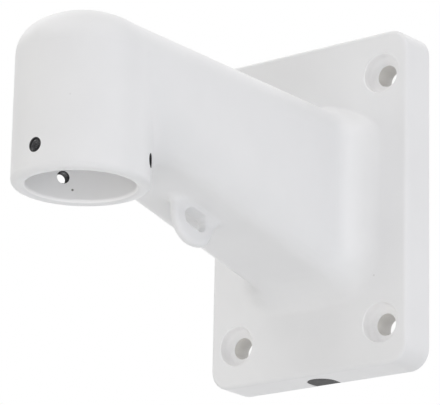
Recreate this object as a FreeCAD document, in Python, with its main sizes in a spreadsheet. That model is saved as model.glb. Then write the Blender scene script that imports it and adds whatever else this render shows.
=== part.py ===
import FreeCAD, Part
import math
import os

import Sketcher

doc = FreeCAD.newDocument("camera_wall_bracket")

# Driving sizes in millimetres. The wall is the plane Y = 0, the arm reaches towards -Y and Z is up.
# Heights are measured from the middle of the plate, distances from the wall.
SIZES = [
    ("plate_width", 112.3),
    ("plate_height", 160.2),
    ("plate_depth", 18.2),
    ("plate_draft", 0.75),
    ("plate_corner", 10.0),
    ("plate_edge_fillet", 1.8),
    ("plate_face_wall", 5.0),
    ("plate_rim_wall", 4.5),
    ("socket_reach", 180.0),
    ("socket_drop", 30.0),
    ("bore_radius", 23.7),
    ("bore_length", 24.0),
    ("bore_wall", 6.3),
    ("socket_wall", 5.0),
    ("mouth_fillet", 2.0),
    ("rim_edge_fillet", 3.0),
    ("dome_height", 47.6),
    ("dome_shoulder", 16.0),
    ("crown_radius", 44.0),
    ("arm_wall", 4.0),
    ("root_half_width", 28.0),
    ("root_height", 46.6),
    ("root_depth", 40.2),
    ("root_corner", 9.5),
    ("root_roll", 13.0),
    ("neck_inset", 0.4),
    ("neck_step", 0.4),
    ("neck_depth", 4.1),
    ("neck_corner", 9.5),
    ("neck_roll", 24.0),
    ("foot_flare", 15.0),
    ("foot_rise", 3.6),
    ("foot_fall", 9.3),
    ("foot_corner", 22.0),
    ("foot_roll", 28.0),
    ("foot_crown", 60.0),
    ("bolt_side_inset", 14.95),
    ("bolt_spacing_z", 119.7),
    ("bolt_hole_radius", 5.2),
    ("bolt_recess_radius", 9.3),
    ("bolt_recess_depth", 5.7),
    ("bolt_lip_fillet", 0.8),
    ("bolt_floor_fillet", 2.6),
    ("bolt_boss_radius", 12.0),
    ("bolt_boss_setback", 1.7),
    ("screw_height", 11.4),
    ("screw_radius", 2.9),
    ("screw_sink_radius", 3.3),
    ("screw_count", 3),
    ("eye_thickness", 4.6),
    ("eye_front", 118.5),
    ("eye_back", 90.4),
    ("eye_drop", 37.6),
    ("eye_front_corner", 15.0),
    ("eye_back_corner", 11.0),
    ("eye_edge_fillet", 2.1),
    ("eye_root_fillet", 4.5),
    ("eye_hole_radius", 3.7),
    ("eye_hole_spread", 7.2),
    ("eye_hole_at", 104.2),
    ("eye_hole_drop", 25.9),
    ("eye_hole_fillet", 0.9),
    ("neck_blend", 12.6),
    ("cavity_corner", 5.5),
    ("notch_half_width", 7.2),
    ("notch_apex", 12.3),
    ("plug_gap", 0.25),
    ("plug_recess", 0.1),
    ("plug_flange", 2.0),
    ("plug_flange_thickness", 2.0),
    ("cut_over", 1.0),
]

sheet = doc.addObject("Spreadsheet::Sheet", "Sizes")
for row, (alias, value) in enumerate(SIZES, start=1):
    sheet.set(f"A{row}", alias)
    sheet.set(f"B{row}", str(value))
    sheet.setAlias(f"B{row}", alias)
doc.recompute()


def size(name):
    return float(sheet.get(name))


class Length:
    """A length worked out from named sizes: its value now and the expression that keeps it."""

    def __init__(self, value, text):
        self.value = value
        self.text = text

    def __add__(self, other):
        other = as_length(other)
        return Length(self.value + other.value, f"({self.text} + {other.text})")

    def __sub__(self, other):
        other = as_length(other)
        return Length(self.value - other.value, f"({self.text} - {other.text})")

    def __mul__(self, other):
        other = as_length(other)
        return Length(self.value * other.value, f"{self.text} * {other.text}")

    def __truediv__(self, other):
        other = as_length(other)
        return Length(self.value / other.value, f"{self.text} / {other.text}")


def as_length(item):
    if isinstance(item, Length):
        return item
    return Length(float(item), f"{item:g}")


def named(name):
    return Length(size(name), f"Sizes.{name}")


def socket_radius():
    """The socket's outer radius: its bore and the wall round it."""
    return named("bore_radius") + named("bore_wall")


def origin_plane(body, role):
    return next(item for item in body.Origin.OriginFeatures if item.Role == role)


def new_sketch(body, name, role, offset=None):
    """A sketch on one of the body's own planes, moved along the plane's normal by offset."""
    sketch = body.newObject("Sketcher::SketchObject", name)
    sketch.AttachmentSupport = [(origin_plane(body, role), "")]
    sketch.MapMode = "FlatFace"
    if offset is not None:
        sketch.setExpression("AttachmentOffset.Base.z", offset.text)
    return sketch


START = 1
END = 2
CENTRE = 3
ORIGIN = -1
AXIS_X = -1
AXIS_Y = -2


def bind(sketch, constraint, length):
    """Add a dimension and tie it to its expression."""
    number = sketch.addConstraint(constraint)
    sketch.setExpression(f"Constraints[{number}]", length.text)
    return number


def vector(x, y):
    return FreeCAD.Vector(x, y, 0.0)


def arc(centre, radius, begin, end):
    """A counter-clockwise arc between two angles in radians."""
    circle = Part.Circle(centre, FreeCAD.Vector(0, 0, 1), radius)
    return Part.ArcOfCircle(circle, begin, end)


# The wide arc of a lower corner turns by the angle whose sine is one over this number.
ROLL_SHARE = 1.7


def arch_section(body, name, distance, half_width, top, bottom, corner, roll, shoulder, crown):
    """The arm's section: a crowned top, round shoulders, upright flanks and a flat bottom.

    Each lower corner is a wide arc that leaves the flank at the height of the roll above the
    bottom and a tighter one, of the corner's radius, that runs into the bottom.
    """
    sketch = new_sketch(body, name, "XZ_Plane", distance)
    wide = half_width.value
    low = bottom.value
    turn = corner.value
    wide_turn = corner + (roll - corner) * ROLL_SHARE
    sweep = math.asin(1.0 / ROLL_SHARE)
    inner = (wide_turn.value - turn) * math.cos(sweep)
    roll_x = wide - wide_turn.value
    roll_z = low + roll.value
    corner_x = roll_x + inner
    corner_z = low + turn
    crown_at = top.value - crown.value
    reach = crown.value - shoulder.value
    across = wide - shoulder.value
    rise = math.sqrt(reach ** 2 - across ** 2)
    slant = math.atan2(rise, across)
    shoulder_at = crown_at + rise
    half_turn = math.pi
    edges = [
        arc(vector(0.0, crown_at), crown.value, slant, half_turn - slant),
        arc(vector(-across, shoulder_at), shoulder.value, half_turn - slant, half_turn),
        Part.LineSegment(vector(-wide, shoulder_at), vector(-wide, roll_z)),
        arc(vector(-roll_x, roll_z), wide_turn.value, half_turn, half_turn + sweep),
        arc(vector(-corner_x, corner_z), turn, half_turn + sweep, 1.5 * half_turn),
        Part.LineSegment(vector(-corner_x, low), vector(corner_x, low)),
        arc(vector(corner_x, corner_z), turn, 1.5 * half_turn, 2.0 * half_turn - sweep),
        arc(vector(roll_x, roll_z), wide_turn.value, 2.0 * half_turn - sweep, 2.0 * half_turn),
        Part.LineSegment(vector(wide, roll_z), vector(wide, shoulder_at)),
        arc(vector(across, shoulder_at), shoulder.value, 0.0, slant),
    ]
    sketch.addGeometry(edges, False)
    for index in range(len(edges)):
        follower = (index + 1) % len(edges)
        sketch.addConstraint(Sketcher.Constraint("Tangent", index, END, follower, START))
    sketch.addConstraint(Sketcher.Constraint("Vertical", 2))
    sketch.addConstraint(Sketcher.Constraint("Symmetric", 2, START, 8, END, AXIS_Y))
    sketch.addConstraint(Sketcher.Constraint("PointOnObject", 0, CENTRE, AXIS_Y))
    for first, second in ((1, 9), (2, 8), (3, 7), (4, 6)):
        sketch.addConstraint(Sketcher.Constraint("Equal", first, second))
    sketch.addConstraint(Sketcher.Constraint("Horizontal", 5))
    bind(sketch, Sketcher.Constraint("Radius", 0, crown.value), crown)
    bind(sketch, Sketcher.Constraint("Radius", 9, shoulder.value), shoulder)
    bind(sketch, Sketcher.Constraint("Radius", 6, turn), corner)
    bind(sketch, Sketcher.Constraint("Radius", 7, wide_turn.value), wide_turn)
    bind(sketch, Sketcher.Constraint("DistanceX", ORIGIN, 1, 8, END, wide), half_width)
    bind(sketch, Sketcher.Constraint("DistanceY", ORIGIN, 1, 0, CENTRE, crown_at), top - crown)
    bind(sketch, Sketcher.Constraint("DistanceY", ORIGIN, 1, 5, START, low), bottom)
    bind(sketch, Sketcher.Constraint("DistanceY", 5, START, 8, START, roll.value), roll)
    return sketch


ZERO = Length(0.0, "0")
# Shares of the flare's depth at which the rounded foot of the arm is sectioned.
FOOT_STEPS = (0.0, 0.3, 0.55, 0.75, 0.9, 0.98, 1.0)


def along_arm(distance, root, neck):
    """A section size that runs straight from the plate's face to the socket's axis."""
    share = (distance - named("plate_depth")) / (named("socket_reach") - named("plate_depth"))
    return root + (neck - root) * share


def arm_sizes(distance, inset):
    """Half width, top, bottom, corner and roll of the arm at a distance, inset by a wall."""
    neck_half_width = socket_radius() - named("neck_inset")
    neck_height = named("dome_height") - named("neck_step")
    half_width = along_arm(distance, named("root_half_width"), neck_half_width) - inset
    top = along_arm(distance, named("root_height"), neck_height) - inset
    bottom = ZERO - along_arm(distance, named("root_depth"), named("neck_depth")) + inset
    corner = along_arm(distance, named("root_corner"), named("neck_corner")) - inset
    roll = along_arm(distance, named("root_roll"), named("neck_roll")) - inset
    return half_width, top, bottom, corner, roll


def add_loft(body, kind, name, sections):
    loft = body.newObject(kind, name)
    loft.Profile = (sections[0], [""])
    loft.Sections = [(section, [""]) for section in sections[1:]]
    loft.Ruled = False
    doc.recompute()
    return loft


def rounded_plate(sketch, half_width, half_height, corner):
    """A rectangle with round corners, centred on the sketch's origin."""
    across = half_width.value
    up = half_height.value
    turn = corner.value
    edges = [
        Part.LineSegment(vector(across, -up + turn), vector(across, up - turn)),
        arc(vector(across - turn, up - turn), turn, 0.0, 0.5 * math.pi),
        Part.LineSegment(vector(across - turn, up), vector(-across + turn, up)),
        arc(vector(-across + turn, up - turn), turn, 0.5 * math.pi, math.pi),
        Part.LineSegment(vector(-across, up - turn), vector(-across, -up + turn)),
        arc(vector(-across + turn, -up + turn), turn, math.pi, 1.5 * math.pi),
        Part.LineSegment(vector(-across + turn, -up), vector(across - turn, -up)),
        arc(vector(across - turn, -up + turn), turn, 1.5 * math.pi, 2.0 * math.pi),
    ]
    sketch.addGeometry(edges, False)
    for index in range(len(edges)):
        follower = (index + 1) % len(edges)
        sketch.addConstraint(Sketcher.Constraint("Tangent", index, END, follower, START))
    sketch.addConstraint(Sketcher.Constraint("Vertical", 0))
    sketch.addConstraint(Sketcher.Constraint("Horizontal", 2))
    sketch.addConstraint(Sketcher.Constraint("Symmetric", 1, CENTRE, 5, CENTRE, ORIGIN, 1))
    for other in (3, 5, 7):
        sketch.addConstraint(Sketcher.Constraint("Equal", 1, other))
    bind(sketch, Sketcher.Constraint("Radius", 1, turn), corner)
    bind(sketch, Sketcher.Constraint("DistanceX", ORIGIN, 1, 0, START, across), half_width)
    bind(sketch, Sketcher.Constraint("DistanceY", ORIGIN, 1, 2, START, up), half_height)


def profile_sketch(body, name, role, points, offset=None):
    """A closed outline of straight lines whose corners are held by their bound coordinates."""
    sketch = new_sketch(body, name, role, offset)
    count = len(points)
    for index, (first, second) in enumerate(points):
        after = points[(index + 1) % count]
        start = vector(first.value, second.value)
        end = vector(after[0].value, after[1].value)
        sketch.addGeometry(Part.LineSegment(start, end), False)
    for index in range(count):
        follower = (index + 1) % count
        sketch.addConstraint(Sketcher.Constraint("Coincident", index, END, follower, START))
    for index, (first, second) in enumerate(points):
        for kind, length in (("DistanceX", first), ("DistanceY", second)):
            axis = "Y" if kind == "DistanceX" else "X"
            if length.text == "0":
                line = AXIS_Y if axis == "Y" else AXIS_X
                sketch.addConstraint(Sketcher.Constraint("PointOnObject", index, START, line))
            elif length.value > 0:
                bind(sketch, Sketcher.Constraint(kind, ORIGIN, 1, index, START, length.value), length)
            else:
                positive = ZERO - length
                bind(sketch, Sketcher.Constraint(kind, index, START, ORIGIN, 1, positive.value), positive)
    return sketch


# The plate: a rectangle with round corners, drafted towards its face.
casting = doc.addObject("PartDesign::Body", "Casting")
casting.Label = "bracket_casting"

plate_sketch = new_sketch(casting, "PlateOutline", "XZ_Plane")
rounded_plate(
    plate_sketch, named("plate_width") / 2, named("plate_height") / 2, named("plate_corner")
)
plate = casting.newObject("PartDesign::Pad", "Plate")
plate.Profile = plate_sketch
plate.setExpression("Length", "Sizes.plate_depth")
plate.setExpression("TaperAngle", "-Sizes.plate_draft")
doc.recompute()

# The arm, straight from its root to the socket, and the rounded foot that meets the plate.
neck = arm_sizes(named("socket_reach"), ZERO)
foot_start = named("plate_depth") + named("foot_flare")
shoulder = named("dome_shoulder")
crown = named("crown_radius")
foot_sections = []
for step, part in enumerate(FOOT_STEPS):
    distance = foot_start - named("foot_flare") * part
    swell = 1.0 - math.sqrt(1.0 - part ** 2)
    half_width, top, bottom, corner, roll = arm_sizes(distance, ZERO)
    foot_sections.append(
        arch_section(
            casting,
            f"FootSection{step}",
            distance,
            half_width + named("foot_flare") * swell,
            top + named("foot_rise") * swell,
            bottom - named("foot_fall") * swell,
            corner + (named("foot_corner") - named("root_corner")) * swell,
            roll + (named("foot_roll") - named("root_roll")) * swell,
            shoulder,
            crown + (named("foot_crown") - named("crown_radius")) * swell,
        )
    )
neck_section = arch_section(casting, "NeckSection", named("socket_reach"), *neck, shoulder, crown)
arm_root = arch_section(
    casting, "ArmRoot", foot_start, *arm_sizes(foot_start, ZERO), shoulder, crown
)
doc.recompute()
add_loft(casting, "PartDesign::AdditiveLoft", "Arm", [arm_root, neck_section])
add_loft(casting, "PartDesign::AdditiveLoft", "Foot", foot_sections)


def add_axis(sketch, first, second):
    """A construction line between the starts of two edges, to turn the outline about."""
    start = sketch.getPoint(first, START)
    end = sketch.getPoint(second, START)
    line = sketch.addGeometry(Part.LineSegment(start, end), True)
    sketch.addConstraint(Sketcher.Constraint("Coincident", line, START, first, START))
    sketch.addConstraint(Sketcher.Constraint("Coincident", line, END, second, START))


def socket_profile(body, name, radius, drop, top, shoulder, crown):
    """Half of the socket's turned outline, with a construction line on the socket's axis."""
    sketch = new_sketch(body, name, "YZ_Plane")
    axis = -size("socket_reach")
    low = -drop.value
    reach = crown.value - shoulder.value
    across = radius.value - shoulder.value
    slant = math.acos(across / reach)
    crown_at = top.value - crown.value
    shoulder_at = crown_at + reach * math.sin(slant)
    wall = axis - radius.value
    edges = [
        arc(vector(axis - across, shoulder_at), shoulder.value, math.pi - slant, math.pi),
        arc(vector(axis, crown_at), crown.value, 0.5 * math.pi, math.pi - slant),
        Part.LineSegment(vector(axis, low), vector(wall, low)),
        Part.LineSegment(vector(wall, low), vector(wall, shoulder_at)),
        Part.LineSegment(vector(axis, top.value), vector(axis, low)),
    ]
    sketch.addGeometry(edges, False)
    sketch.addConstraint(Sketcher.Constraint("Tangent", 3, END, 0, END))
    sketch.addConstraint(Sketcher.Constraint("Tangent", 0, START, 1, END))
    sketch.addConstraint(Sketcher.Constraint("Coincident", 1, START, 4, START))
    sketch.addConstraint(Sketcher.Constraint("Coincident", 4, END, 2, START))
    sketch.addConstraint(Sketcher.Constraint("Coincident", 2, END, 3, START))
    sketch.addConstraint(Sketcher.Constraint("Horizontal", 2))
    sketch.addConstraint(Sketcher.Constraint("Vertical", 3))
    sketch.addConstraint(Sketcher.Constraint("Vertical", 4))
    sketch.addConstraint(Sketcher.Constraint("PointOnObject", 1, CENTRE, 4))
    bind(sketch, Sketcher.Constraint("Radius", 0, shoulder.value), shoulder)
    bind(sketch, Sketcher.Constraint("Radius", 1, crown.value), crown)
    bind(sketch, Sketcher.Constraint("DistanceX", 3, END, 4, END, radius.value), radius)
    bind(sketch, Sketcher.Constraint("DistanceX", 4, END, ORIGIN, 1, -axis), named("socket_reach"))
    bind(sketch, Sketcher.Constraint("DistanceY", 4, END, ORIGIN, 1, -low), drop)
    bind(sketch, Sketcher.Constraint("DistanceY", ORIGIN, 1, 4, START, top.value), top)
    add_axis(sketch, 4, 2)
    return sketch


def turn(body, kind, name, sketch):
    feature = body.newObject(kind, name)
    feature.Profile = (sketch, [""])
    feature.ReferenceAxis = (sketch, ["Axis0"])
    feature.Angle = 360.0
    doc.recompute()
    return feature


# The round socket under its crowned dome.
socket_sketch = socket_profile(
    casting,
    "SocketOutline",
    socket_radius(),
    named("socket_drop"),
    named("dome_height"),
    shoulder,
    crown,
)
doc.recompute()
socket = turn(casting, "PartDesign::Revolution", "Socket", socket_sketch)


def edges_inside(shape, low, high):
    """Names of the edges whose bounding boxes lie inside the box from low to high."""
    names = []
    for number, edge in enumerate(shape.Edges, start=1):
        box = edge.BoundBox
        least = (box.XMin, box.YMin, box.ZMin)
        most = (box.XMax, box.YMax, box.ZMax)
        if all(a >= b for a, b in zip(least, low)) and all(a <= b for a, b in zip(most, high)):
            names.append(f"Edge{number}")
    return names


def add_fillet(body, name, base, edges, radius):
    fillet = body.newObject("PartDesign::Fillet", name)
    fillet.Base = (base, edges)
    fillet.setExpression("Radius", f"Sizes.{radius}")
    doc.recompute()
    return fillet


# Bounds for picking edges: beyond everything, roughly the same place, and the same place.
FAR = 1000.0
SLACK = 0.4
NEAR = 0.05
axis_y = -size("socket_reach")
rear_y = axis_y + socket_radius().value
plate_front = -size("plate_depth")

# The crease where the arm runs into the socket is one soft blend.
neck_edges = edges_inside(
    socket.Shape,
    (-FAR, axis_y + SLACK, -size("socket_drop") + SLACK),
    (FAR, rear_y + SLACK, FAR),
)
neck_fillet = add_fillet(casting, "NeckBlend", socket, neck_edges, "neck_blend")


def eye_outline(body):
    """The safety-rope eye hanging under the arm, its top edge buried in the arm."""
    sketch = new_sketch(body, "EyeOutline", "YZ_Plane")
    front = -size("eye_front")
    back = -size("eye_back")
    low = -size("eye_drop")
    near = size("eye_front_corner")
    far = size("eye_back_corner")
    edges = [
        Part.LineSegment(vector(back, 0.0), vector(front, 0.0)),
        Part.LineSegment(vector(front, 0.0), vector(front, low + near)),
        arc(vector(front + near, low + near), near, math.pi, 1.5 * math.pi),
        Part.LineSegment(vector(front + near, low), vector(back - far, low)),
        arc(vector(back - far, low + far), far, 1.5 * math.pi, 2.0 * math.pi),
        Part.LineSegment(vector(back, low + far), vector(back, 0.0)),
    ]
    sketch.addGeometry(edges, False)
    sketch.addConstraint(Sketcher.Constraint("Coincident", 0, END, 1, START))
    for first, second in ((1, 2), (2, 3), (3, 4), (4, 5)):
        sketch.addConstraint(Sketcher.Constraint("Tangent", first, END, second, START))
    sketch.addConstraint(Sketcher.Constraint("Coincident", 5, END, 0, START))
    sketch.addConstraint(Sketcher.Constraint("PointOnObject", 0, START, AXIS_X))
    sketch.addConstraint(Sketcher.Constraint("Horizontal", 0))
    sketch.addConstraint(Sketcher.Constraint("Vertical", 1))
    sketch.addConstraint(Sketcher.Constraint("Horizontal", 3))
    bind(sketch, Sketcher.Constraint("Radius", 2, near), named("eye_front_corner"))
    bind(sketch, Sketcher.Constraint("Radius", 4, far), named("eye_back_corner"))
    bind(sketch, Sketcher.Constraint("DistanceX", 0, END, ORIGIN, 1, -front), named("eye_front"))
    bind(sketch, Sketcher.Constraint("DistanceX", 0, START, ORIGIN, 1, -back), named("eye_back"))
    bind(sketch, Sketcher.Constraint("DistanceY", 3, START, ORIGIN, 1, -low), named("eye_drop"))
    return sketch


def slot_outline(body, name, role, first, second, radius):
    """A slot with round ends whose two centres are given in the sketch's plane."""
    sketch = new_sketch(body, name, role)
    start = vector(first[0].value, first[1].value)
    end = vector(second[0].value, second[1].value)
    along = math.atan2(end.y - start.y, end.x - start.x)
    side_step = vector(-math.sin(along), math.cos(along)) * radius.value
    edges = [
        arc(start, radius.value, along + 0.5 * math.pi, along + 1.5 * math.pi),
        Part.LineSegment(start - side_step, end - side_step),
        arc(end, radius.value, along - 0.5 * math.pi, along + 0.5 * math.pi),
        Part.LineSegment(end + side_step, start + side_step),
    ]
    sketch.addGeometry(edges, False)
    for index in range(4):
        sketch.addConstraint(Sketcher.Constraint("Tangent", index, END, (index + 1) % 4, START))
    sketch.addConstraint(Sketcher.Constraint("Equal", 0, 2))
    bind(sketch, Sketcher.Constraint("Radius", 0, radius.value), radius)
    for index, centre in ((0, first), (2, second)):
        for kind, length in (("DistanceX", centre[0]), ("DistanceY", centre[1])):
            bind(sketch, Sketcher.Constraint(kind, ORIGIN, 1, index, CENTRE, length.value), length)
    return sketch


# The eye for a safety rope, faired into the arm, with a slotted hole along the slope of the arm.
eye = casting.newObject("PartDesign::Pad", "Eye")
eye.Profile = eye_outline(casting)
eye.Midplane = True
eye.setExpression("Length", "Sizes.eye_thickness")
doc.recompute()


def eye_outline_edges(shape):
    """The free edges of the eye's outline on both its faces."""
    half = 0.5 * size("eye_thickness")
    full_length = size("eye_front") - size("eye_back")
    names = []
    for sign in (-1, 1):
        low = (sign * half - NEAR, -size("eye_front") - SLACK, -size("eye_drop") - SLACK)
        high = (sign * half + NEAR, -size("eye_back") + SLACK, 0.0)
        for name in edges_inside(shape, low, high):
            if shape.getElement(name).BoundBox.YLength < full_length - SLACK:
                names.append(name)
    return names


def eye_root_edges(shape):
    """The ring of edges where the eye leaves the arm's underside."""
    half = 0.5 * size("eye_thickness")
    low = (-half - NEAR, -size("eye_front") - SLACK, -underside(named("eye_back")).value - SLACK)
    high = (half + NEAR, -size("eye_back") + SLACK, -underside(named("eye_front")).value + SLACK)
    names = []
    for name in edges_inside(shape, low, high):
        ends = [vertex.Point for vertex in shape.getElement(name).Vertexes]
        if all(abs(end.z + underside_at(-end.y)) < SLACK for end in ends):
            names.append(name)
    return names


def underside(distance):
    """How far the arm's underside lies below the middle of the plate."""
    return along_arm(distance, named("root_depth"), named("neck_depth"))


def underside_at(distance):
    return underside(Length(distance, f"{distance:g}")).value


eye_fillet = add_fillet(casting, "EyeEdge", eye, eye_outline_edges(eye.Shape), "eye_edge_fillet")
eye_root_fillet = add_fillet(
    casting, "EyeRoot", eye_fillet, eye_root_edges(eye_fillet.Shape), "eye_root_fillet"
)
slope = (named("root_depth") - named("neck_depth")) / (named("socket_reach") - named("plate_depth"))
half_spread = named("eye_hole_spread") / 2
eye_hole_sketch = slot_outline(
    casting,
    "EyeHoleOutline",
    "YZ_Plane",
    (ZERO - named("eye_hole_at") - half_spread, ZERO - named("eye_hole_drop") + half_spread * slope),
    (ZERO - named("eye_hole_at") + half_spread, ZERO - named("eye_hole_drop") - half_spread * slope),
    named("eye_hole_radius"),
)
doc.recompute()
eye_hole = casting.newObject("PartDesign::Pocket", "EyeHole")
eye_hole.Profile = eye_hole_sketch
eye_hole.Midplane = True
eye_hole.setExpression("Length", "Sizes.eye_thickness + Sizes.eye_root_fillet * 3")
doc.recompute()


def eye_hole_edges(shape):
    """The edges of the slotted hole on both faces of the eye."""
    reach = size("eye_hole_radius") + 0.5 * size("eye_hole_spread") + SLACK
    names = []
    for sign in (-1, 1):
        near = NEAR if sign > 0 else -FAR
        far = FAR if sign > 0 else -NEAR
        low = (near, -size("eye_hole_at") - reach, -size("eye_hole_drop") - reach)
        high = (far, -size("eye_hole_at") + reach, 0.0)
        names += edges_inside(shape, low, high)
    return names


eye_hole_fillet = add_fillet(
    casting, "EyeHoleEdge", eye_hole, eye_hole_edges(eye_hole.Shape), "eye_hole_fillet"
)

# Inside: the back of the plate, the arm's channel that opens out into it, and the socket's bore.
cavity_sketch = new_sketch(casting, "CavityOutline", "XZ_Plane")
rounded_plate(
    cavity_sketch,
    named("plate_width") / 2 - named("plate_rim_wall"),
    named("plate_height") / 2 - named("plate_rim_wall"),
    named("cavity_corner"),
)
cavity = casting.newObject("PartDesign::Pocket", "Cavity")
cavity.Profile = cavity_sketch
cavity.Reversed = True
cavity.setExpression("Length", "Sizes.plate_depth - Sizes.plate_face_wall")
doc.recompute()

wall = named("arm_wall")
inner_shoulder = shoulder - wall
inner_crown = crown - wall
over = named("cut_over")
# The mouth runs past the plate's face wall, the flare inside runs parallel to the one outside.
mouth_depth = named("foot_flare") + named("plate_face_wall") + over
mouth_swell = named("foot_flare") + wall
mouth_sections = []
for step, part in enumerate(FOOT_STEPS):
    distance = foot_start - mouth_depth * part
    swell = 1.0 - math.sqrt(1.0 - part ** 2)
    half_width, top, bottom, corner, roll = arm_sizes(distance, wall)
    mouth_sections.append(
        arch_section(
            casting,
            f"MouthSection{step}",
            distance,
            half_width + mouth_swell * swell,
            top + named("foot_rise") * swell,
            bottom - named("foot_fall") * swell,
            corner + (named("foot_corner") - named("root_corner") + wall) * swell,
            roll + (named("foot_roll") - named("root_roll") + wall) * swell,
            inner_shoulder,
            inner_crown + (named("foot_crown") - named("crown_radius")) * swell,
        )
    )
channel_root = arch_section(
    casting, "ChannelRoot", foot_start, *arm_sizes(foot_start, wall), inner_shoulder, inner_crown
)
# The channel stops short of the socket's axis, inside the socket's own hollow.
channel_end = named("socket_reach") - wall * 2
channel_neck = arch_section(
    casting,
    "ChannelNeck",
    channel_end,
    *arm_sizes(channel_end, wall),
    inner_shoulder,
    inner_crown,
)
doc.recompute()
add_loft(casting, "PartDesign::SubtractiveLoft", "ChannelMouth", mouth_sections)
core_sketch = socket_profile(
    casting,
    "CoreOutline",
    socket_radius() - named("socket_wall"),
    named("socket_drop") - named("bore_length"),
    named("dome_height") - wall,
    inner_shoulder,
    inner_crown,
)
doc.recompute()
turn(casting, "PartDesign::Groove", "SocketCore", core_sketch)
socket_axis = ZERO - named("socket_reach")
mouth_z = ZERO - named("socket_drop")
bore_wall = socket_axis - named("bore_radius")
bore_sketch = profile_sketch(
    casting,
    "BoreOutline",
    "YZ_Plane",
    [
        (socket_axis, mouth_z - over),
        (bore_wall, mouth_z - over),
        (bore_wall, mouth_z + named("bore_length") + over),
        (socket_axis, mouth_z + named("bore_length") + over),
    ],
)
add_axis(bore_sketch, 3, 0)
doc.recompute()
turn(casting, "PartDesign::Groove", "Bore", bore_sketch)
channel = add_loft(casting, "PartDesign::SubtractiveLoft", "Channel", [channel_root, channel_neck])
# Edges beyond this share of the plate's half sizes belong to its outline.
OUTLINE_SHARE = 0.85
side = 0.5 * size("plate_width")
up = 0.5 * size("plate_height")
plate_edges = [
    name
    for name in edges_inside(
        channel.Shape, (-FAR, plate_front - SLACK, -FAR), (FAR, plate_front + SLACK, FAR)
    )
    if max(
        abs(channel.Shape.getElement(name).CenterOfMass.x) / side,
        abs(channel.Shape.getElement(name).CenterOfMass.z) / up,
    )
    > OUTLINE_SHARE
]
plate_fillet = add_fillet(casting, "PlateEdge", channel, plate_edges, "plate_edge_fillet")

rim_z = -size("socket_drop")


def rim_circles(shape, radius):
    """The edges of the socket's mouth that are full circles of a radius."""
    low = (-FAR, -FAR, rim_z - NEAR)
    high = (FAR, rear_y + SLACK, rim_z + NEAR)
    around = 2 * math.pi * radius
    names = edges_inside(shape, low, high)
    return [name for name in names if abs(shape.getElement(name).Length - around) < NEAR]


rim_fillet = add_fillet(
    casting,
    "RimEdge",
    plate_fillet,
    rim_circles(plate_fillet.Shape, socket_radius().value),
    "rim_edge_fillet",
)
add_fillet(
    casting,
    "MouthEdge",
    rim_fillet,
    rim_circles(rim_fillet.Shape, size("bore_radius")),
    "mouth_fillet",
)


def circles_at_bolts(sketch, radius):
    """Four equal circles on the bolt pattern."""
    across = named("plate_width") / 2 - named("bolt_side_inset")
    up = named("bolt_spacing_z") / 2
    for index, (right, above) in enumerate(((1, 1), (-1, 1), (-1, -1), (1, -1))):
        centre = vector(right * across.value, above * up.value)
        sketch.addGeometry(Part.Circle(centre, FreeCAD.Vector(0, 0, 1), radius.value), False)
        if index == 0:
            bind(sketch, Sketcher.Constraint("Radius", 0, radius.value), radius)
        else:
            sketch.addConstraint(Sketcher.Constraint("Equal", 0, index))
    bind(sketch, Sketcher.Constraint("DistanceX", ORIGIN, 1, 0, CENTRE, across.value), across)
    bind(sketch, Sketcher.Constraint("DistanceY", ORIGIN, 1, 0, CENTRE, up.value), up)
    sketch.addConstraint(Sketcher.Constraint("Symmetric", 0, CENTRE, 1, CENTRE, AXIS_Y))
    sketch.addConstraint(Sketcher.Constraint("Symmetric", 0, CENTRE, 3, CENTRE, AXIS_X))
    sketch.addConstraint(Sketcher.Constraint("Symmetric", 0, CENTRE, 2, CENTRE, ORIGIN, 1))


# Bolt holes with round recesses in the face and bosses behind it.
boss_sketch = new_sketch(casting, "BossCircles", "XZ_Plane", named("bolt_boss_setback"))
circles_at_bolts(boss_sketch, named("bolt_boss_radius"))
boss = casting.newObject("PartDesign::Pad", "BoltBosses")
boss.Profile = boss_sketch
boss.setExpression("Length", "Sizes.plate_depth - Sizes.plate_face_wall / 2 - Sizes.bolt_boss_setback")
doc.recompute()

recess_sketch = new_sketch(casting, "RecessCircles", "XZ_Plane", named("plate_depth"))
circles_at_bolts(recess_sketch, named("bolt_recess_radius"))
recess = casting.newObject("PartDesign::Pocket", "BoltRecesses")
recess.Profile = recess_sketch
recess.setExpression("Length", "Sizes.bolt_recess_depth")
doc.recompute()
lip_edges = []
for name in edges_inside(
    recess.Shape, (-FAR, plate_front - NEAR, -FAR), (FAR, plate_front + NEAR, FAR)
):
    edge = recess.Shape.getElement(name)
    if abs(edge.Length - 2 * math.pi * size("bolt_recess_radius")) < NEAR:
        lip_edges.append(name)
lips = add_fillet(casting, "RecessLips", recess, lip_edges, "bolt_lip_fillet")
floor_y = plate_front + size("bolt_recess_depth")
floor_edges = []
for name in edges_inside(lips.Shape, (-FAR, floor_y - NEAR, -FAR), (FAR, floor_y + NEAR, FAR)):
    edge = lips.Shape.getElement(name)
    if abs(edge.Length - 2 * math.pi * size("bolt_recess_radius")) < NEAR:
        floor_edges.append(name)
add_fillet(casting, "RecessFloors", lips, floor_edges, "bolt_floor_fillet")
hole_sketch = new_sketch(casting, "BoltCircles", "XZ_Plane", named("plate_depth"))
circles_at_bolts(hole_sketch, named("bolt_hole_radius"))
bolt_holes = casting.newObject("PartDesign::Pocket", "BoltHoles")
bolt_holes.Profile = hole_sketch
bolt_holes.Type = "ThroughAll"
doc.recompute()

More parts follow.
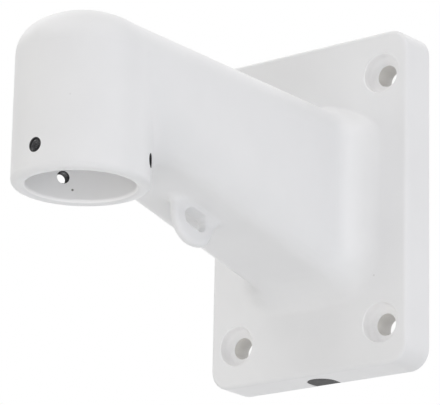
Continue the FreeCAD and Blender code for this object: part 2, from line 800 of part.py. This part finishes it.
# Three threaded holes for set screws, one at the front and the others a third of a turn away.
screw_z = named("screw_height") - named("socket_drop")
mouth_y = ZERO - named("socket_reach") - socket_radius()
sink = named("screw_sink_radius") - named("screw_radius")
screw_sketch = profile_sketch(
    casting,
    "ScrewOutline",
    "YZ_Plane",
    [
        (mouth_y - over, screw_z),
        (mouth_y - over, screw_z + named("screw_sink_radius") + over),
        (mouth_y + sink, screw_z + named("screw_radius")),
        (ZERO - named("socket_reach"), screw_z + named("screw_radius")),
        (ZERO - named("socket_reach"), screw_z),
    ],
)
add_axis(screw_sketch, 4, 0)
doc.recompute()
screw_hole = turn(casting, "PartDesign::Groove", "ScrewHole", screw_sketch)
screw_ring = casting.newObject("PartDesign::PolarPattern", "ScrewHoles")
screw_ring.Originals = [screw_hole]
screw_ring.Axis = (socket_sketch, ["Axis0"])
screw_ring.Angle = 360.0
screw_ring.setExpression("Occurrences", "Sizes.screw_count")
casting.Tip = screw_ring
doc.recompute()


def notch_outline(body, name, offset, half_width, apex, back):
    """A U with its round end towards the plate's face, open to the wall."""
    sketch = new_sketch(body, name, "XY_Plane", offset)
    wide = half_width.value
    turn_at = -(apex.value - wide)
    edges = [
        Part.LineSegment(vector(wide, back.value), vector(-wide, back.value)),
        Part.LineSegment(vector(-wide, back.value), vector(-wide, turn_at)),
        arc(vector(0.0, turn_at), wide, math.pi, 2.0 * math.pi),
        Part.LineSegment(vector(wide, turn_at), vector(wide, back.value)),
    ]
    sketch.addGeometry(edges, False)
    sketch.addConstraint(Sketcher.Constraint("Coincident", 0, END, 1, START))
    sketch.addConstraint(Sketcher.Constraint("Tangent", 1, END, 2, START))
    sketch.addConstraint(Sketcher.Constraint("Tangent", 2, END, 3, START))
    sketch.addConstraint(Sketcher.Constraint("Coincident", 3, END, 0, START))
    sketch.addConstraint(Sketcher.Constraint("Horizontal", 0))
    sketch.addConstraint(Sketcher.Constraint("Vertical", 1))
    sketch.addConstraint(Sketcher.Constraint("PointOnObject", 2, CENTRE, AXIS_Y))
    bind(sketch, Sketcher.Constraint("Radius", 2, wide), half_width)
    centre = apex - half_width
    bind(sketch, Sketcher.Constraint("DistanceY", 2, CENTRE, ORIGIN, 1, centre.value), centre)
    if back.value == 0.0:
        sketch.addConstraint(Sketcher.Constraint("PointOnObject", 0, START, AXIS_X))
    else:
        bind(sketch, Sketcher.Constraint("DistanceY", ORIGIN, 1, 0, START, back.value), back)
    return sketch


# The cable notch in the lower rim and the rubber plug that closes it.
low_face = ZERO - named("plate_height") / 2
notch_sketch = notch_outline(
    casting, "NotchOutline", low_face - over, named("notch_half_width"), named("notch_apex"),
    over,
)
notch = casting.newObject("PartDesign::Pocket", "Notch")
notch.Profile = notch_sketch
notch.Reversed = True
notch.setExpression("Length", "Sizes.plate_rim_wall + Sizes.cut_over * 2")
doc.recompute()

plug = doc.addObject("PartDesign::Body", "Plug")
plug.Label = "cable_entry_plug"
gap = named("plug_gap")
plug_sketch = notch_outline(
    plug, "PlugOutline", low_face + named("plug_recess"), named("notch_half_width") - gap,
    named("notch_apex") - gap, ZERO,
)
plug_pad = plug.newObject("PartDesign::Pad", "PlugBody")
plug_pad.Profile = plug_sketch
plug_pad.setExpression("Length", "Sizes.plate_rim_wall - Sizes.plug_recess")
doc.recompute()
flange_width = named("notch_half_width") + named("plug_flange")
flange_sketch = notch_outline(
    plug, "FlangeOutline", low_face + named("plate_rim_wall"), flange_width,
    named("plate_depth") - named("plate_face_wall") - gap, ZERO,
)
plug_flange = plug.newObject("PartDesign::Pad", "PlugFlange")
plug_flange.Profile = flange_sketch
plug_flange.setExpression("Length", "Sizes.plug_flange_thickness")
doc.recompute()

for item in doc.Objects:
    for state in item.State:
        if "Invalid" in state or "Error" in state:
            raise RuntimeError(f"{item.Name} failed to build: {item.getStatusString()}")

bodies = (casting, plug)
for piece in bodies:
    if piece.Shape.isNull() or not piece.Shape.isValid():
        raise RuntimeError(f"{piece.Label} has no valid shape")

os.makedirs("parts", exist_ok=True)
for piece in bodies:
    piece.Shape.exportStep(f"parts/{piece.Label}.step")
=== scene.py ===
"""Studio scene of a cast camera wall bracket: finishes, tapped threads, light and viewpoint."""

import logging
import math
from dataclasses import dataclass, field
from enum import Enum
from typing import Any

import bmesh
import bpy
from mathutils import Matrix, Vector


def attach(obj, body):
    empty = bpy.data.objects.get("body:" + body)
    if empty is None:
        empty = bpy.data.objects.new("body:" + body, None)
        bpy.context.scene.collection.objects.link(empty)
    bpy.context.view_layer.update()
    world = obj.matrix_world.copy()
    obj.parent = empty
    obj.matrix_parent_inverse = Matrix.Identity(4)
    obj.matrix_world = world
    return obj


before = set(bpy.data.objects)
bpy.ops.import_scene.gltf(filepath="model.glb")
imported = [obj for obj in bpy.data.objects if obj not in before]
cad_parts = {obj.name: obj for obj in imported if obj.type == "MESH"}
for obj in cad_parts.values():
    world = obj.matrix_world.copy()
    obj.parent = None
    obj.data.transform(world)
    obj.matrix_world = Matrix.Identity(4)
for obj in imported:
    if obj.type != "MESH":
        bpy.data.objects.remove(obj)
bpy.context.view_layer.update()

LOG = logging.getLogger("camera_wall_bracket")
MM = 0.001
Colour = tuple[float, float, float]


class Node(Enum):
    """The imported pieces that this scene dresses."""

    CASTING = "bracket_casting"
    PLUG = "cable_entry_plug"


class Slot(Enum):
    """The record's material slots."""

    CASTING = "casting"
    PLUG = "plug"


class ScrewSide(Enum):
    """Where a set-screw hole stands round the socket, in degrees from +X towards +Y."""

    FRONT = -90.0
    RIGHT = 30.0
    LEFT = 150.0


class Term:
    """A value socket that takes part in shader maths written as a Python expression."""

    def __init__(self, shader: "Shader", socket: Any) -> None:
        """Keep the shader that owns the socket, and the socket."""
        self.shader = shader
        self.socket = socket

    def _math(self, operation: str, first: Any, second: Any) -> "Term":
        """Add one Math node.

        Args:
            operation: The node's operation.
            first: The first operand, a Term or a number.
            second: The second operand, a Term or a number.

        Returns:
            The node's result.
        """
        return self.shader.value("ShaderNodeMath", {"operation": operation}, {0: first, 1: second})

    def __add__(self, other: Any) -> "Term":
        """Sum of this term and another."""
        return self._math("ADD", self, other)

    def __radd__(self, other: Any) -> "Term":
        """Sum with a number on the left."""
        return self._math("ADD", other, self)

    def __sub__(self, other: Any) -> "Term":
        """This term less another."""
        return self._math("SUBTRACT", self, other)

    def __rsub__(self, other: Any) -> "Term":
        """A number less this term."""
        return self._math("SUBTRACT", other, self)

    def __mul__(self, other: Any) -> "Term":
        """Product of this term and another."""
        return self._math("MULTIPLY", self, other)

    def __rmul__(self, other: Any) -> "Term":
        """Product with a number on the left."""
        return self._math("MULTIPLY", other, self)

    def size(self) -> "Term":
        """This term without its sign."""
        return self._math("ABSOLUTE", self, 0.0)

    def above(self, low: float, high: float) -> "Term":
        """A smooth step from 0 at low to 1 at high.

        Args:
            low: The value below which the step is 0.
            high: The value above which the step is 1.

        Returns:
            The step as a term.
        """
        return self.shader.value(
            "ShaderNodeMapRange",
            {"interpolation_type": "SMOOTHSTEP"},
            {"Value": self, "From Min": low, "From Max": high},
        )

    def below(self, low: float, high: float) -> "Term":
        """A smooth step from 1 at low to 0 at high."""
        return 1.0 - self.above(low, high)

    def clipped(self) -> "Term":
        """This term kept between 0 and 1."""
        return self.shader.value("ShaderNodeClamp", {}, {"Value": self})


class Shader:
    """A node tree of one material or world, with one method that adds any node."""

    def __init__(
        self,
        name: str,
        homes: Any = None,
        output: str = "ShaderNodeOutputMaterial",
    ) -> None:
        """Start an empty node tree.

        Args:
            name: The name of the material or world.
            homes: Where it is kept, with the materials if not given.
            output: The type of its output node.
        """
        self.owner = (bpy.data.materials if homes is None else homes).new(name)
        self.output = output
        self.owner.use_nodes = True
        self.tree = self.owner.node_tree
        self.tree.nodes.clear()

    def node(self, kind: str, settings: dict[str, Any], inputs: dict[Any, Any]) -> Any:
        """Add a node, set it up and connect it.

        Args:
            kind: The node's type.
            settings: Attributes that are set before its sockets are used.
            inputs: Values or links by socket name or number.

        Returns:
            The new node.
        """
        node = self.tree.nodes.new(kind)
        for name, setting in settings.items():
            setattr(node, name, setting)
        for key, given in inputs.items():
            socket = node.inputs[key]
            if isinstance(given, Term):
                self.tree.links.new(given.socket, socket)
            elif isinstance(given, bpy.types.NodeSocket):
                self.tree.links.new(given, socket)
            else:
                socket.default_value = given
        return node

    def value(
        self,
        kind: str,
        settings: dict[str, Any],
        inputs: dict[Any, Any],
        output: Any = 0,
    ) -> Term:
        """Add a node and hand back one of its outputs as a term.

        Args:
            kind: The node's type.
            settings: Attributes that are set first.
            inputs: Values or links by socket name or number.
            output: The output's name or number.

        Returns:
            The output, ready for shader maths.
        """
        return Term(self, self.node(kind, settings, inputs).outputs[output])

    def place(self) -> Any:
        """The point being shaded, in the bracket's own frame, in metres."""
        return self.node("ShaderNodeTexCoord", {}, {}).outputs["Object"]

    def coordinates(self) -> tuple[Term, Term, Term]:
        """The shaded point's three coordinates, in metres."""
        parts = self.node("ShaderNodeSeparateXYZ", {}, {"Vector": self.place()}).outputs
        return Term(self, parts["X"]), Term(self, parts["Y"]), Term(self, parts["Z"])

    def vector(self, operation: str, inputs: dict[Any, Any], output: str = "Vector") -> Any:
        """Add a Vector Math node.

        Args:
            operation: The node's operation.
            inputs: Its vectors by number.
            output: The output's name.

        Returns:
            The output socket.
        """
        return self.node("ShaderNodeVectorMath", {"operation": operation}, inputs).outputs[output]

    def noise(self, size: float, detail: float = 2.0, roughness: float = 0.5) -> Term:
        """Noise whose blobs are about one size across.

        Args:
            size: The blobs' size in metres.
            detail: How many finer layers are added.
            roughness: How strong the finer layers are.

        Returns:
            The noise, about 0.5 in the middle.
        """
        inputs = {
            "Vector": self.place(),
            "Scale": 1.0 / size,
            "Detail": detail,
            "Roughness": roughness,
        }
        return self.value("ShaderNodeTexNoise", {}, inputs, "Fac")

    def blend(self, share: Term, first: Any, second: Any) -> Any:
        """Mix two colours.

        Args:
            share: How much of the second colour shows.
            first: The first colour or link.
            second: The second colour or link.

        Returns:
            The mixed colour's socket.
        """
        settings = {"data_type": "RGBA", "clamp_factor": True}
        node = self.node("ShaderNodeMix", settings, {"Factor": share})
        for key, colour in (("A", first), ("B", second)):
            socket = next(s for s in node.inputs if s.name == key and s.type == "RGBA")
            if isinstance(colour, bpy.types.NodeSocket):
                self.tree.links.new(colour, socket)
            else:
                socket.default_value = (*colour, 1.0)
        return next(s for s in node.outputs if s.type == "RGBA")

    def bump(self, height: Term) -> Any:
        """The normal that a height in metres gives the surface."""
        inputs = {"Strength": 1.0, "Distance": 1.0, "Height": height}
        return self.node("ShaderNodeBump", {}, inputs).outputs["Normal"]

    def principled(self, inputs: dict[Any, Any]) -> bpy.types.Material:
        """Finish the material with one principled surface.

        Args:
            inputs: The surface's values or links by name.

        Returns:
            The finished material.
        """
        return self.finish(self.node("ShaderNodeBsdfPrincipled", {}, inputs).outputs["BSDF"])

    def finish(self, surface: Any) -> Any:
        """Connect the surface to the output.

        Args:
            surface: The shader socket to show.

        Returns:
            The finished material or world.
        """
        self.node(self.output, {}, {"Surface": surface})
        return self.owner


def total(terms: list[Term]) -> Term:
    """Add terms up and keep the sum between 0 and 1.

    Args:
        terms: At least one term.

    Returns:
        The clipped sum.
    """
    result = terms[0]
    for term in terms[1:]:
        result = result + term
    return result.clipped()


def direction(azimuth: float, elevation: float) -> Vector:
    """The way from the bracket to a place round it.

    Args:
        azimuth: Degrees round the bracket from its front towards +X.
        elevation: Degrees above the level.

    Returns:
        The direction, of length 1.
    """
    turn = math.radians(azimuth)
    rise = math.radians(elevation)
    return Vector(
        (math.sin(turn) * math.cos(rise), -math.cos(turn) * math.cos(rise), math.sin(rise))
    )


@dataclass(frozen=True)
class Speck:
    """A tiny dark inclusion in the coat."""

    place: tuple[float, float, float]
    radius: float
    strength: float


SPECKS = (
    Speck((15.13 * MM, -205.9 * MM, 1.99 * MM), 0.45 * MM, 0.12),
    Speck((37.99 * MM, -18.24 * MM, -37.34 * MM), 0.45 * MM, 0.25),
    Speck((-18.02 * MM, -164.62 * MM, -23.97 * MM), 0.55 * MM, 1.0),
)


@dataclass(frozen=True)
class PowderCoat:
    """White satin powder coat over the casting, left off inside the tapped holes, with painted shade in
    the tapped and bolt holes and painted light in the bore and the bolt recesses.
    """

    colour: Colour = (0.80, 0.805, 0.815)
    shaded_colour: Colour = (0.785, 0.79, 0.80)
    speck_colour: Colour = (0.22, 0.21, 0.20)
    # Bare metal in the tapped holes, its near-black colour partly painted shade of the holes.
    bare_metal_and_shade_colour: Colour = (0.06, 0.06, 0.062)
    # Painted shade: a darker warm grey on the walls of the wall bolts' holes.
    painted_bolt_hole_shade_colour: Colour = (0.75, 0.74, 0.72)
    # Painted light: a brighter coat in the bolt recesses that lifts their shade.
    painted_recess_light_colour: Colour = (0.88, 0.88, 0.885)
    # Painted light: a brighter coat inside the bore that lifts the shade there.
    painted_bore_light_colour: Colour = (0.97, 0.97, 0.975)
    roughness: float = 0.42
    roughness_spread: float = 0.06
    bare_roughness: float = 0.38
    refraction: float = 1.5
    cloud_size: float = 34 * MM
    cloud_detail: float = 3.0
    cloud_band: tuple[float, float] = (0.35, 0.65)
    peel_detail: float = 1.0
    grain_detail: float = 2.0
    grain_layers: float = 0.6
    soft_edge: float = 0.1 * MM
    drilled_edge: float = 0.3 * MM
    bore_edge: float = 0.5 * MM
    bore_fade: float = 1.0 * MM
    speck_band: tuple[float, float] = (0.5, 1.3)
    peel_size: float = 1.5 * MM
    grain_size: float = 0.35 * MM
    peel_depth: float = 0.012 * MM
    grain_depth: float = 0.004 * MM
    bare_edge: tuple[float, float] = (3.2 * MM, 3.34 * MM)
    bare_from: float = 23.72 * MM
    bolt_side: float = 41.2 * MM
    bolt_rise: float = 59.85 * MM
    drilled_radius: float = 5.25 * MM
    recess_radius: float = 9.6 * MM
    drilled_from: float = -12.45 * MM
    socket_reach: float = 180.0 * MM
    bore_radius: float = 24.1 * MM
    bore_top: float = -5.5 * MM
    specks: tuple[Speck, ...] = SPECKS

    def bare(self, shader: Shader, holes: "list[TappedHole]") -> Term:
        """Where the tap has cut through the coat.

        Args:
            shader: The coat's node tree.
            holes: The tapped holes of the socket.

        Returns:
            1 inside a hole's wall, 0 elsewhere.
        """
        shares = []
        for hole in holes:
            axis = tuple(hole.axis())
            offset = shader.vector("SUBTRACT", {0: shader.place(), 1: tuple(hole.middle())})
            along = Term(shader, shader.vector("DOT_PRODUCT", {0: offset, 1: axis}, "Value"))
            across = shader.vector("CROSS_PRODUCT", {0: offset, 1: axis})
            away = Term(shader, shader.vector("LENGTH", {0: across}, "Value"))
            beyond = along.above(self.bare_from, self.bare_from + self.soft_edge)
            shares.append(away.below(*self.bare_edge) * beyond)
        return total(shares)

    def at_bolts(self, shader: Shader, edge: float) -> Term:
        """Where the plate lies within a distance of one of the wall bolts' axes.

        Args:
            shader: The coat's node tree.
            edge: The distance in metres.

        Returns:
            1 within the distance, 0 beyond it.
        """
        x, _, z = shader.coordinates()
        across = x.size() - self.bolt_side
        up = z.size() - self.bolt_rise
        away = across * across + up * up
        return away.below(edge ** 2, (edge + self.soft_edge) ** 2)

    def bolt_hole_shade(self, shader: Shader) -> Term:
        """Where painted shade darkens the walls of the wall bolts' holes.

        Args:
            shader: The coat's node tree.

        Returns:
            1 on a hole's wall, 0 elsewhere.
        """
        _, y, _ = shader.coordinates()
        deep = y.above(self.drilled_from, self.drilled_from + self.drilled_edge)
        return self.at_bolts(shader, self.drilled_radius) * deep

    def painted_bore_light(self, shader: Shader) -> Term:
        """The bore's wall, where painted light brightens the coat.

        Args:
            shader: The coat's node tree.

        Returns:
            1 on the bore's wall, 0 elsewhere.
        """
        x, y, z = shader.coordinates()
        along = y + self.socket_reach
        edge = self.bore_radius
        away = x * x + along * along
        within = away.below(edge ** 2, (edge + self.bore_edge) ** 2)
        return within * z.below(self.bore_top, self.bore_top + self.bore_fade)

    def speckled(self, shader: Shader) -> Term:
        """Where the coat's specks lie.

        Args:
            shader: The coat's node tree.

        Returns:
            1 on a speck, 0 elsewhere.
        """
        shares = []
        core, rim = self.speck_band
        for speck in self.specks:
            ends = {0: shader.place(), 1: speck.place}
            away = Term(shader, shader.vector("DISTANCE", ends, "Value"))
            spot = away.below(core * speck.radius, rim * speck.radius)
            shares.append(speck.strength * spot)
        return total(shares)

    def material(self, holes: "list[TappedHole]") -> bpy.types.Material:
        """Build the coat.

        Args:
            holes: The tapped holes, which stay bare, their near-black colour partly painted shade.

        Returns:
            The material.
        """
        shader = Shader("powder_coat")
        clouds = shader.noise(self.cloud_size, self.cloud_detail).above(*self.cloud_band)
        peel = shader.noise(self.peel_size, self.peel_detail)
        grain = shader.noise(self.grain_size, self.grain_detail, self.grain_layers)
        bare = self.bare(shader, holes)
        colour = shader.blend(clouds, self.colour, self.shaded_colour)
        # Painted light on the bore's wall.
        colour = shader.blend(self.painted_bore_light(shader), colour, self.painted_bore_light_colour)
        # Painted light in the wall bolts' recesses.
        recess_light_mask = self.at_bolts(shader, self.recess_radius)
        colour = shader.blend(recess_light_mask, colour, self.painted_recess_light_colour)
        # Painted shade on the walls of the wall bolts' holes.
        colour = shader.blend(self.bolt_hole_shade(shader), colour, self.painted_bolt_hole_shade_colour)
        colour = shader.blend(self.speckled(shader), colour, self.speck_colour)
        # Bare metal in the tapped holes, darkened partly as painted shade.
        colour = shader.blend(bare, colour, self.bare_metal_and_shade_colour)
        coat_roughness = self.roughness + self.roughness_spread * (grain - 0.5)
        roughness = coat_roughness * (1.0 - bare) + self.bare_roughness * bare
        height = self.peel_depth * peel + self.grain_depth * grain
        return shader.principled(
            {
                "Base Color": colour,
                "Roughness": roughness,
                "Metallic": bare,
                "Normal": shader.bump(height),
                "IOR": self.refraction,
            }
        )


@dataclass(frozen=True)
class TappedMetal:
    """Bare cast metal as a tap leaves it, dark with fine turning marks; the darkness is partly painted
    shade of the deep holes.
    """

    # Near-black partly as painted shade of the deep holes, partly bare metal.
    colour: Colour = (0.05, 0.05, 0.052)
    worn_colour: Colour = (0.26, 0.26, 0.265)
    roughness: float = 0.34
    roughness_spread: float = 0.2
    mark_size: float = 0.5 * MM
    mark_detail: float = 3.0
    mark_layers: float = 0.7
    mark_band: tuple[float, float] = (0.5, 0.75)

    def material(self) -> bpy.types.Material:
        """Build the metal.

        Returns:
            The material.
        """
        shader = Shader("tapped_metal_and_shade")
        marks = shader.noise(self.mark_size, self.mark_detail, self.mark_layers)
        worn = marks.above(*self.mark_band)
        return shader.principled(
            {
                "Base Color": shader.blend(worn, self.colour, self.worn_colour),
                "Roughness": self.roughness + self.roughness_spread * (marks - 0.5),
                "Metallic": 1.0,
            }
        )


@dataclass(frozen=True)
class MouldedRubber:
    """Dark matt rubber with a bloom of dust and a fine moulded grain."""

    colour: Colour = (0.075, 0.076, 0.078)
    dusty_colour: Colour = (0.105, 0.105, 0.106)
    roughness: float = 0.72
    roughness_spread: float = 0.15
    refraction: float = 1.45
    dust_size: float = 2.5 * MM
    dust_detail: float = 4.0
    dust_band: tuple[float, float] = (0.4, 0.7)
    grain_detail: float = 2.0
    grain_size: float = 0.25 * MM
    grain_depth: float = 0.012 * MM

    def material(self) -> bpy.types.Material:
        """Build the rubber.

        Returns:
            The material.
        """
        shader = Shader("moulded_rubber")
        dust = shader.noise(self.dust_size, self.dust_detail)
        grain = shader.noise(self.grain_size, self.grain_detail)
        dusty = dust.above(*self.dust_band)
        return shader.principled(
            {
                "Base Color": shader.blend(dusty, self.colour, self.dusty_colour),
                "Roughness": self.roughness + self.roughness_spread * (dust - 0.5),
                "Normal": shader.bump(self.grain_depth * grain),
                "IOR": self.refraction,
            }
        )


@dataclass
class TappedHole:
    """One of the set-screw holes in the socket's wall, with its thread."""

    side: ScrewSide
    reach: float = 180.0 * MM
    height: float = -18.6 * MM
    inner: float = 23.8 * MM
    outer: float = 29.6 * MM
    wall_radius: float = 2.96 * MM
    crest_radius: float = 2.45 * MM
    pitch: float = 1.0 * MM
    crest_flat: float = 0.12 * MM
    flank_share: float = 0.46
    run_in: float = 0.5
    least_share: float = 0.03
    steps: int = 40

    def axis(self) -> Vector:
        """The direction in which the hole leaves the socket."""
        angle = math.radians(self.side.value)
        return Vector((math.cos(angle), math.sin(angle), 0.0))

    def middle(self) -> Vector:
        """The point on the socket's axis that the hole points away from."""
        return Vector((0.0, -self.reach, self.height))

    def ridge(self, turn: float, turns: float) -> list[Vector]:
        """The thread's section at one place along its helix.

        Args:
            turn: Turns from the inner end.
            turns: All the turns of the thread.

        Returns:
            The section's corners, from the inner flank to the outer one.
        """
        axis = self.axis()
        side = Vector((0.0, 0.0, 1.0))
        other = axis.cross(side)
        angle = 2.0 * math.pi * turn
        out = side * math.cos(angle) + other * math.sin(angle)
        grown = min(1.0, turn / self.run_in, (turns - turn) / self.run_in)
        grown = max(grown, self.least_share)
        crest = self.wall_radius - (self.wall_radius - self.crest_radius) * grown
        start = self.middle() + axis * (self.inner + 0.5 * self.pitch + turn * self.pitch)
        half = self.flank_share * self.pitch
        flat = 0.5 * self.crest_flat
        return [
            start + out * self.wall_radius - axis * half,
            start + out * crest - axis * flat,
            start + out * crest + axis * flat,
            start + out * self.wall_radius + axis * half,
        ]

    def thread(self) -> bpy.types.Object:
        """Build the helical ridge of the thread.

        Returns:
            The thread as an object in the bracket's frame.
        """
        turns = (self.outer - self.inner) / self.pitch - 1.0
        count = int(turns * self.steps)
        mesh = bmesh.new()
        rings = []
        for index in range(count + 1):
            corners = self.ridge(turns * index / count, turns)
            rings.append([mesh.verts.new(corner) for corner in corners])
        for ring, after in zip(rings, rings[1:]):
            for here in range(len(ring)):
                beside = (here + 1) % len(ring)
                mesh.faces.new((ring[here], ring[beside], after[beside], after[here]))
        mesh.faces.new(rings[0][::-1])
        mesh.faces.new(rings[-1])
        bmesh.ops.recalc_face_normals(mesh, faces=mesh.faces)
        data = bpy.data.meshes.new(f"thread_{self.side.name.lower()}")
        mesh.to_mesh(data)
        mesh.free()
        thread = bpy.data.objects.new(data.name, data)
        bpy.context.scene.collection.objects.link(thread)
        return thread


def dress(piece: bpy.types.Object, material: bpy.types.Material) -> None:
    """Give a piece one material all over.

    Args:
        piece: The object to dress.
        material: Its finish.
    """
    slots = max(1, len(piece.data.materials))
    piece.data.materials.clear()
    for _ in range(slots):
        piece.data.materials.append(material)


@dataclass
class Bracket:
    """The casting with its plug and the threads of its set-screw holes."""

    coat: PowderCoat = field(default_factory=PowderCoat)
    metal: TappedMetal = field(default_factory=TappedMetal)
    rubber: MouldedRubber = field(default_factory=MouldedRubber)

    def build(self) -> None:
        """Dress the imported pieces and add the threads."""
        holes = [TappedHole(side) for side in ScrewSide]
        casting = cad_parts[Node.CASTING.value]
        dress(casting, self.coat.material(holes))
        LOG.info("%s dressed", casting.name)
        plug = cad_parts[Node.PLUG.value]
        dress(plug, self.rubber.material())
        LOG.info("%s dressed", plug.name)
        metal = self.metal.material()
        for hole in holes:
            thread = hole.thread()
            dress(thread, metal)
            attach(thread, "root")
            LOG.info("%s built with %d faces", thread.name, len(thread.data.polygons))


@dataclass(frozen=True)
class Softbox:
    """A large soft lamp that points at the bracket."""

    name: str
    azimuth: float
    elevation: float
    power: float
    colour: Colour = (1.0, 1.0, 1.0)
    size: float = 1.6
    distance: float = 2.2


SOFTBOXES = (
    Softbox("top_box", 0.0, 88.0, 3.1, (1.0, 0.99, 0.86)),
    Softbox("low_box", 40.0, -45.0, 4.5, (1.0, 1.0, 1.0), 1.2, 1.45),
    Softbox("right_box", 90.0, 10.0, 9.4, (0.98, 0.976, 1.0)),
    Softbox("right_top_box", 80.0, 50.0, 10.5, (1.0, 0.982, 0.987)),
    Softbox("front_top_box", -10.0, 50.0, 12.3, (1.0, 0.981, 0.972)),
    Softbox("back_right_box", 150.0, 5.0, 5.4, (1.0, 0.98, 0.985)),
    Softbox("front_left_box", -45.0, 0.0, 9.0, (1.0, 0.982, 0.93)),
    Softbox("right_low_box", 95.0, -35.0, 2.4, (0.9, 0.94, 1.0), 1.2, 1.6),
    Softbox("front_low_box", -10.0, -35.0, 2.5, (1.0, 0.96, 0.93), 1.2, 1.6),
    Softbox("left_top_box", -90.0, 50.0, 7.2, (1.0, 1.0, 1.0)),
    Softbox("back_top_box", 180.0, 50.0, 3.0, (1.0, 1.0, 1.0)),
    Softbox("front_right_box", 45.0, 5.0, 3.8, (1.0, 0.975, 0.975)),
    Softbox("back_left_box", -150.0, 5.0, 6.0, (1.0, 1.0, 1.0)),
)
AMBIENT = 0.3


@dataclass
class Studio:
    """Pale floor, white surroundings and soft lamps."""

    floor_height: float = -1.6
    floor_half: float = 6.0
    floor_colour: Colour = (0.86, 0.86, 0.86)
    floor_glow: float = 0.8
    ambient: float = AMBIENT
    ambient_colour: Colour = (1.0, 1.0, 1.0)
    seen_colour: Colour = (1.0, 1.0, 1.0)
    seen_strength: float = 1.0
    centre: tuple[float, float, float] = (0.0, -0.105, -0.01)
    softboxes: tuple[Softbox, ...] = SOFTBOXES

    def floor(self) -> None:
        """Lay the floor, which the camera sees nearly white."""
        half = self.floor_half
        corners = [(-half, -half), (half, -half), (half, half), (-half, half)]
        data = bpy.data.meshes.new("studio_floor")
        data.from_pydata([(x, y, self.floor_height) for x, y in corners], [], [(0, 1, 2, 3)])
        floor = bpy.data.objects.new("studio_floor", data)
        bpy.context.scene.collection.objects.link(floor)
        shader = Shader("pale_floor")
        plain = shader.node(
            "ShaderNodeBsdfDiffuse", {}, {"Color": (*self.floor_colour, 1.0)}
        ).outputs["BSDF"]
        glow = shader.node("ShaderNodeEmission", {}, {"Strength": 1.0}).outputs["Emission"]
        rays = shader.node("ShaderNodeLightPath", {}, {}).outputs
        seen = Term(shader, rays["Is Camera Ray"]) + Term(shader, rays["Is Glossy Ray"])
        share = (seen * self.floor_glow).clipped()
        mixed = shader.node("ShaderNodeMixShader", {}, {0: share, 1: plain, 2: glow})
        clear = shader.node("ShaderNodeBsdfTransparent", {}, {}).outputs["BSDF"]
        under = shader.value("ShaderNodeNewGeometry", {}, {}, "Backfacing")
        shown = shader.node("ShaderNodeMixShader", {}, {0: under, 1: mixed.outputs["Shader"], 2: clear})
        floor.data.materials.append(shader.finish(shown.outputs["Shader"]))

    def surroundings(self) -> None:
        """Make the world white to the eye and in reflections, and dimmer as a light."""
        shader = Shader("studio_world", bpy.data.worlds, "ShaderNodeOutputWorld")
        bpy.context.scene.world = shader.owner
        rays = shader.node("ShaderNodeLightPath", {}, {}).outputs
        ends = {0: rays["Is Camera Ray"], 1: rays["Is Glossy Ray"]}
        seen = shader.value("ShaderNodeMath", {"operation": "MAXIMUM"}, ends)
        light = self.background(shader, self.ambient_colour, self.ambient)
        white = self.background(shader, self.seen_colour, self.seen_strength)
        mixed = shader.node("ShaderNodeMixShader", {}, {0: seen, 1: light, 2: white})
        shader.finish(mixed.outputs["Shader"])

    def background(self, shader: Shader, colour: Colour, strength: float) -> Any:
        """Add an even background.

        Args:
            shader: The world's node tree.
            colour: Its colour.
            strength: Its brightness.

        Returns:
            The background's socket.
        """
        inputs = {"Color": (*colour, 1.0), "Strength": strength}
        return shader.node("ShaderNodeBackground", {}, inputs).outputs["Background"]

    def lamps(self) -> None:
        """Hang the softboxes round the bracket."""
        for box in self.softboxes:
            lamp = bpy.data.lights.new(box.name, "AREA")
            lamp.shape = "SQUARE"
            lamp.size = box.size
            lamp.energy = box.power
            lamp.color = box.colour
            stand = bpy.data.objects.new(box.name, lamp)
            stand.visible_camera = False
            bpy.context.scene.collection.objects.link(stand)
            away = direction(box.azimuth, box.elevation)
            stand.location = Vector(self.centre) + away * box.distance
            stand.rotation_euler = away.to_track_quat("Z", "Y").to_euler()
            LOG.info("%s hung", box.name)

    def build(self) -> None:
        """Set up the whole studio."""
        self.floor()
        self.surroundings()
        self.lamps()
        bpy.context.scene.view_settings.view_transform = "Standard"


@dataclass
class Viewpoint:
    """The camera, below the bracket and to its right, looking up at it."""

    place: tuple[float, float, float] = (0.80316, -1.09711, -0.40145)
    azimuth: float = 38.42
    elevation: float = -16.74
    roll: float = 1.196
    focal_pixels: float = 2998.15
    image_width: float = 440.0
    sensor: float = 36.0

    def build(self) -> None:
        """Set up the camera."""
        turn = math.radians(self.azimuth)
        tilt = math.radians(self.roll)
        back = direction(self.azimuth, self.elevation)
        right = Vector((math.cos(turn), math.sin(turn), 0.0))
        up = back.cross(right)
        across = right * math.cos(tilt) + up * math.sin(tilt)
        upright = up * math.cos(tilt) - right * math.sin(tilt)
        camera_data = bpy.data.cameras.new("viewpoint")
        camera_data.sensor_fit = "HORIZONTAL"
        camera_data.sensor_width = self.sensor
        camera_data.lens = self.focal_pixels / self.image_width * self.sensor
        camera = bpy.data.objects.new("viewpoint", camera_data)
        bpy.context.scene.collection.objects.link(camera)
        frame = Matrix((across, upright, back)).transposed().to_4x4()
        camera.matrix_world = Matrix.Translation(Vector(self.place)) @ frame
        bpy.context.scene.camera = camera
        LOG.info("camera placed")


def main() -> None:
    """Build the bracket, the studio and the viewpoint."""
    logging.basicConfig(level=logging.INFO)
    Bracket().build()
    Studio().build()
    Viewpoint().build()


if __name__ == "__main__":
    main()
